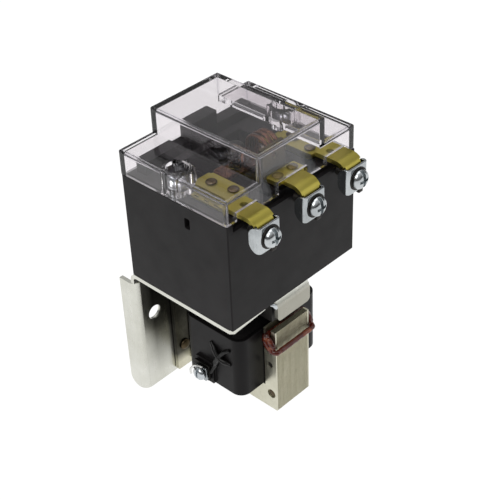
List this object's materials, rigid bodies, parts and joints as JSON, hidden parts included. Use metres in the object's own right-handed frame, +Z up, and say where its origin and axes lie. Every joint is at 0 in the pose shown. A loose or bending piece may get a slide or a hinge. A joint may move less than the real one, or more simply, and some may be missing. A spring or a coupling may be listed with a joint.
{
  "type": "industrial control relay",
  "caption": "Open-coil power relay: black contact housing under a clear stepped cover, brass screw terminals in front, plated steel bracket and AC electromagnet below.",
  "frame": {"origin": "on the rear face of the mounting plate, midway between its two mounting holes", "axes": "+X to the right seen from the front, -Y to the front (the terminals), +Y into the panel, +Z up"},
  "size_m": [0.0636, 0.0701, 0.1183],
  "materials": {
    "armature": "stacked electrical steel",
    "armature_pin": "bright zinc plated steel",
    "braid_riser": "olive-yellow brass, satin",
    "clear_cover": "clear moulded polycarbonate with a faint lilac tint",
    "coil_bobbin": "black nylon",
    "coil_clamp_left": "bright zinc plated steel",
    "coil_clamp_right": "bright zinc plated steel",
    "coil_jacket": "black moulded coil encapsulation",
    "coil_screw_left": "bright zinc plated steel",
    "coil_screw_right": "bright zinc plated steel",
    "coil_tab_left": "olive-yellow brass, satin",
    "coil_tab_right": "olive-yellow brass, satin",
    "coil_winding": "enamelled copper wire, wound",
    "contact_braid": "laminated copper braid",
    "contact_carrier": "black moulded plastic",
    "contact_housing": "moulded black phenolic, satin",
    "contact_pin": "bright zinc plated steel",
    "contact_plate_left": "olive-yellow brass, satin",
    "contact_plate_right": "olive-yellow brass, satin",
    "contact_spring": "bright spring wire",
    "contact_tip_bar_lower": "silver contact alloy",
    "contact_tip_bar_upper": "silver contact alloy",
    "contact_tip_closed": "silver contact alloy",
    "contact_tip_open": "silver contact alloy",
    "core_mount_block": "plated steel block",
    "core_rivet_front": "bright zinc plated steel",
    "core_rivet_rear": "bright zinc plated steel",
    "core_screw": "bright zinc plated steel",
    "core_stack": "stacked electrical steel, plated edges",
    "cover_screw_left": "bright zinc plated steel",
    "cover_screw_right": "bright zinc plated steel",
    "housing_screw_left": "bright zinc plated steel",
    "housing_screw_right": "bright zinc plated steel",
    "mounting_bracket": "zinc plated sheet, yellowish clear passivate",
    "moving_contact_bar": "copper bar",
    "plate_rivet_left": "bright zinc plated steel",
    "plate_rivet_right": "bright zinc plated steel",
    "rear_core_plate": "zinc plated sheet",
    "return_spring_left": "bright spring wire",
    "return_spring_right": "bright spring wire",
    "shading_ring_front": "copper wire under red-brown insulating varnish",
    "shading_ring_rear": "copper wire under red-brown insulating varnish",
    "strap_rivet_centre_1": "olive-yellow brass, satin",
    "strap_rivet_centre_2": "olive-yellow brass, satin",
    "strap_rivet_left_1": "olive-yellow brass, satin",
    "strap_rivet_left_2": "olive-yellow brass, satin",
    "strap_rivet_right_1": "olive-yellow brass, satin",
    "strap_rivet_right_2": "olive-yellow brass, satin",
    "terminal_clamp_centre": "bright zinc plated steel",
    "terminal_clamp_left": "bright zinc plated steel",
    "terminal_clamp_right": "bright zinc plated steel",
    "terminal_nut_centre": "bright zinc plated steel",
    "terminal_nut_left": "bright zinc plated steel",
    "terminal_nut_right": "bright zinc plated steel",
    "terminal_screw_centre": "bright zinc plated steel",
    "terminal_screw_left": "bright zinc plated steel",
    "terminal_screw_right": "bright zinc plated steel",
    "terminal_strap_centre": "olive-yellow brass, satin",
    "terminal_strap_left": "olive-yellow brass, satin",
    "terminal_strap_right": "olive-yellow brass, satin"
  },
  "bodies": {
    "base": {"braid_riser": "braid_riser", "coil_bobbin": "coil_bobbin", "coil_clamp_left": "coil_clamp_left", "coil_clamp_right": "coil_clamp_right", "coil_jacket": "coil_jacket", "coil_tab_left": "coil_tab_left", "coil_tab_right": "coil_tab_right", "coil_winding": "coil_winding", "contact_braid": "contact_braid", "contact_housing": "contact_housing", "contact_plate_left": "contact_plate_left", "contact_plate_right": "contact_plate_right", "contact_tip_closed": "contact_tip_closed", "contact_tip_open": "contact_tip_open", "core_mount_block": "core_mount_block", "core_rivet_front": "core_rivet_front", "core_rivet_rear": "core_rivet_rear", "core_screw": "core_screw", "core_stack": "core_stack", "housing_screw_left": "housing_screw_left", "housing_screw_right": "housing_screw_right", "mounting_bracket": "mounting_bracket", "plate_rivet_left": "plate_rivet_left", "plate_rivet_right": "plate_rivet_right", "rear_core_plate": "rear_core_plate", "return_spring_left": "return_spring_left", "return_spring_right": "return_spring_right", "shading_ring_front": "shading_ring_front", "shading_ring_rear": "shading_ring_rear", "strap_rivet_centre_1": "strap_rivet_centre_1", "strap_rivet_centre_2": "strap_rivet_centre_2", "strap_rivet_left_1": "strap_rivet_left_1", "strap_rivet_left_2": "strap_rivet_left_2", "strap_rivet_right_1": "strap_rivet_right_1", "strap_rivet_right_2": "strap_rivet_right_2", "terminal_nut_centre": "terminal_nut_centre", "terminal_nut_left": "terminal_nut_left", "terminal_nut_right": "terminal_nut_right", "terminal_strap_centre": "terminal_strap_centre", "terminal_strap_left": "terminal_strap_left", "terminal_strap_right": "terminal_strap_right"},
    "armature_set": {"armature": "armature", "armature_pin": "armature_pin", "contact_carrier": "contact_carrier", "contact_pin": "contact_pin"},
    "contact_bridge": {"moving_contact_bar": "moving_contact_bar", "contact_tip_bar_lower": "contact_tip_bar_lower", "contact_tip_bar_upper": "contact_tip_bar_upper", "contact_spring": "contact_spring"},
    "cover": {"clear_cover": "clear_cover"},
    "cover_screw_left_body": {"cover_screw_left": "cover_screw_left"},
    "cover_screw_right_body": {"cover_screw_right": "cover_screw_right"},
    "coil_screw_left_body": {"coil_screw_left": "coil_screw_left"},
    "coil_screw_right_body": {"coil_screw_right": "coil_screw_right"},
    "clamp_left": {"terminal_clamp_left": "terminal_clamp_left"},
    "screw_left": {"terminal_screw_left": "terminal_screw_left"},
    "clamp_centre": {"terminal_clamp_centre": "terminal_clamp_centre"},
    "screw_centre": {"terminal_screw_centre": "terminal_screw_centre"},
    "clamp_right": {"terminal_clamp_right": "terminal_clamp_right"},
    "screw_right": {"terminal_screw_right": "terminal_screw_right"}
  },
  "joints": [
    {"name": "armature_travel", "type": "slide", "parent": "base", "child": "armature_set", "axis": [0, 0, -1], "range_m": [0, 0.0036], "stiffness_N_per_m": 400, "springref_m": -0.008, "deforming": ["return_spring_left", "return_spring_right", "contact_spring"]},
    {"name": "contact_travel", "type": "slide", "parent": "base", "child": "contact_bridge", "axis": [0, 0, -1], "range_m": [0, 0.00275], "deforming": ["contact_braid"]},
    {"name": "clamp_travel_left", "type": "slide", "parent": "base", "child": "clamp_left", "axis": [0, -1, 0], "range_m": [0, 0.0032]},
    {"name": "terminal_screw_turn_left", "type": "hinge", "parent": "clamp_left", "child": "screw_left", "pos_m": [-0.022, -0.0611, 0.0614], "axis": [0, -1, 0], "range_deg": [0, 1440.5]},
    {"name": "clamp_travel_centre", "type": "slide", "parent": "base", "child": "clamp_centre", "axis": [0, -1, 0], "range_m": [0, 0.0032]},
    {"name": "terminal_screw_turn_centre", "type": "hinge", "parent": "clamp_centre", "child": "screw_centre", "pos_m": [0, -0.0611, 0.0619], "axis": [0, -1, 0], "range_deg": [0, 1440.5]},
    {"name": "clamp_travel_right", "type": "slide", "parent": "base", "child": "clamp_right", "axis": [0, -1, 0], "range_m": [0, 0.0032]},
    {"name": "terminal_screw_turn_right", "type": "hinge", "parent": "clamp_right", "child": "screw_right", "pos_m": [0.022, -0.0611, 0.0616], "axis": [0, -1, 0], "range_deg": [0, 1440.5]},
    {"name": "cover_lift", "type": "slide", "parent": "base", "child": "cover", "axis": [0, 0, 1], "range_m": [0, 0.045]},
    {"name": "cover_screw_turn_left", "type": "hinge", "parent": "cover", "child": "cover_screw_left_body", "pos_m": [-0.0263, -0.0241, 0.068], "axis": [0, 0, 1], "range_deg": [0, 1080]},
    {"name": "cover_screw_turn_right", "type": "hinge", "parent": "cover", "child": "cover_screw_right_body", "pos_m": [0.0263, -0.0241, 0.068], "axis": [0, 0, 1], "range_deg": [0, 1080]},
    {"name": "coil_screw_turn_left", "type": "hinge", "parent": "base", "child": "coil_screw_left_body", "pos_m": [-0.025, -0.026, -0.015], "axis": [-1, 0, 0], "range_deg": [0, 720]},
    {"name": "coil_screw_turn_right", "type": "hinge", "parent": "base", "child": "coil_screw_right_body", "pos_m": [0.025, -0.026, -0.015], "axis": [1, 0, 0], "range_deg": [0, 720]}
  ],
  "couplings": [
    {"joint": "contact_travel", "follows": "armature_travel", "ratio": 0.75},
    {"joint": "terminal_screw_turn_left", "follows": "clamp_travel_left", "rad_per_m": 7854},
    {"joint": "terminal_screw_turn_centre", "follows": "clamp_travel_centre", "rad_per_m": 7854},
    {"joint": "terminal_screw_turn_right", "follows": "clamp_travel_right", "rad_per_m": 7854}
  ]
}
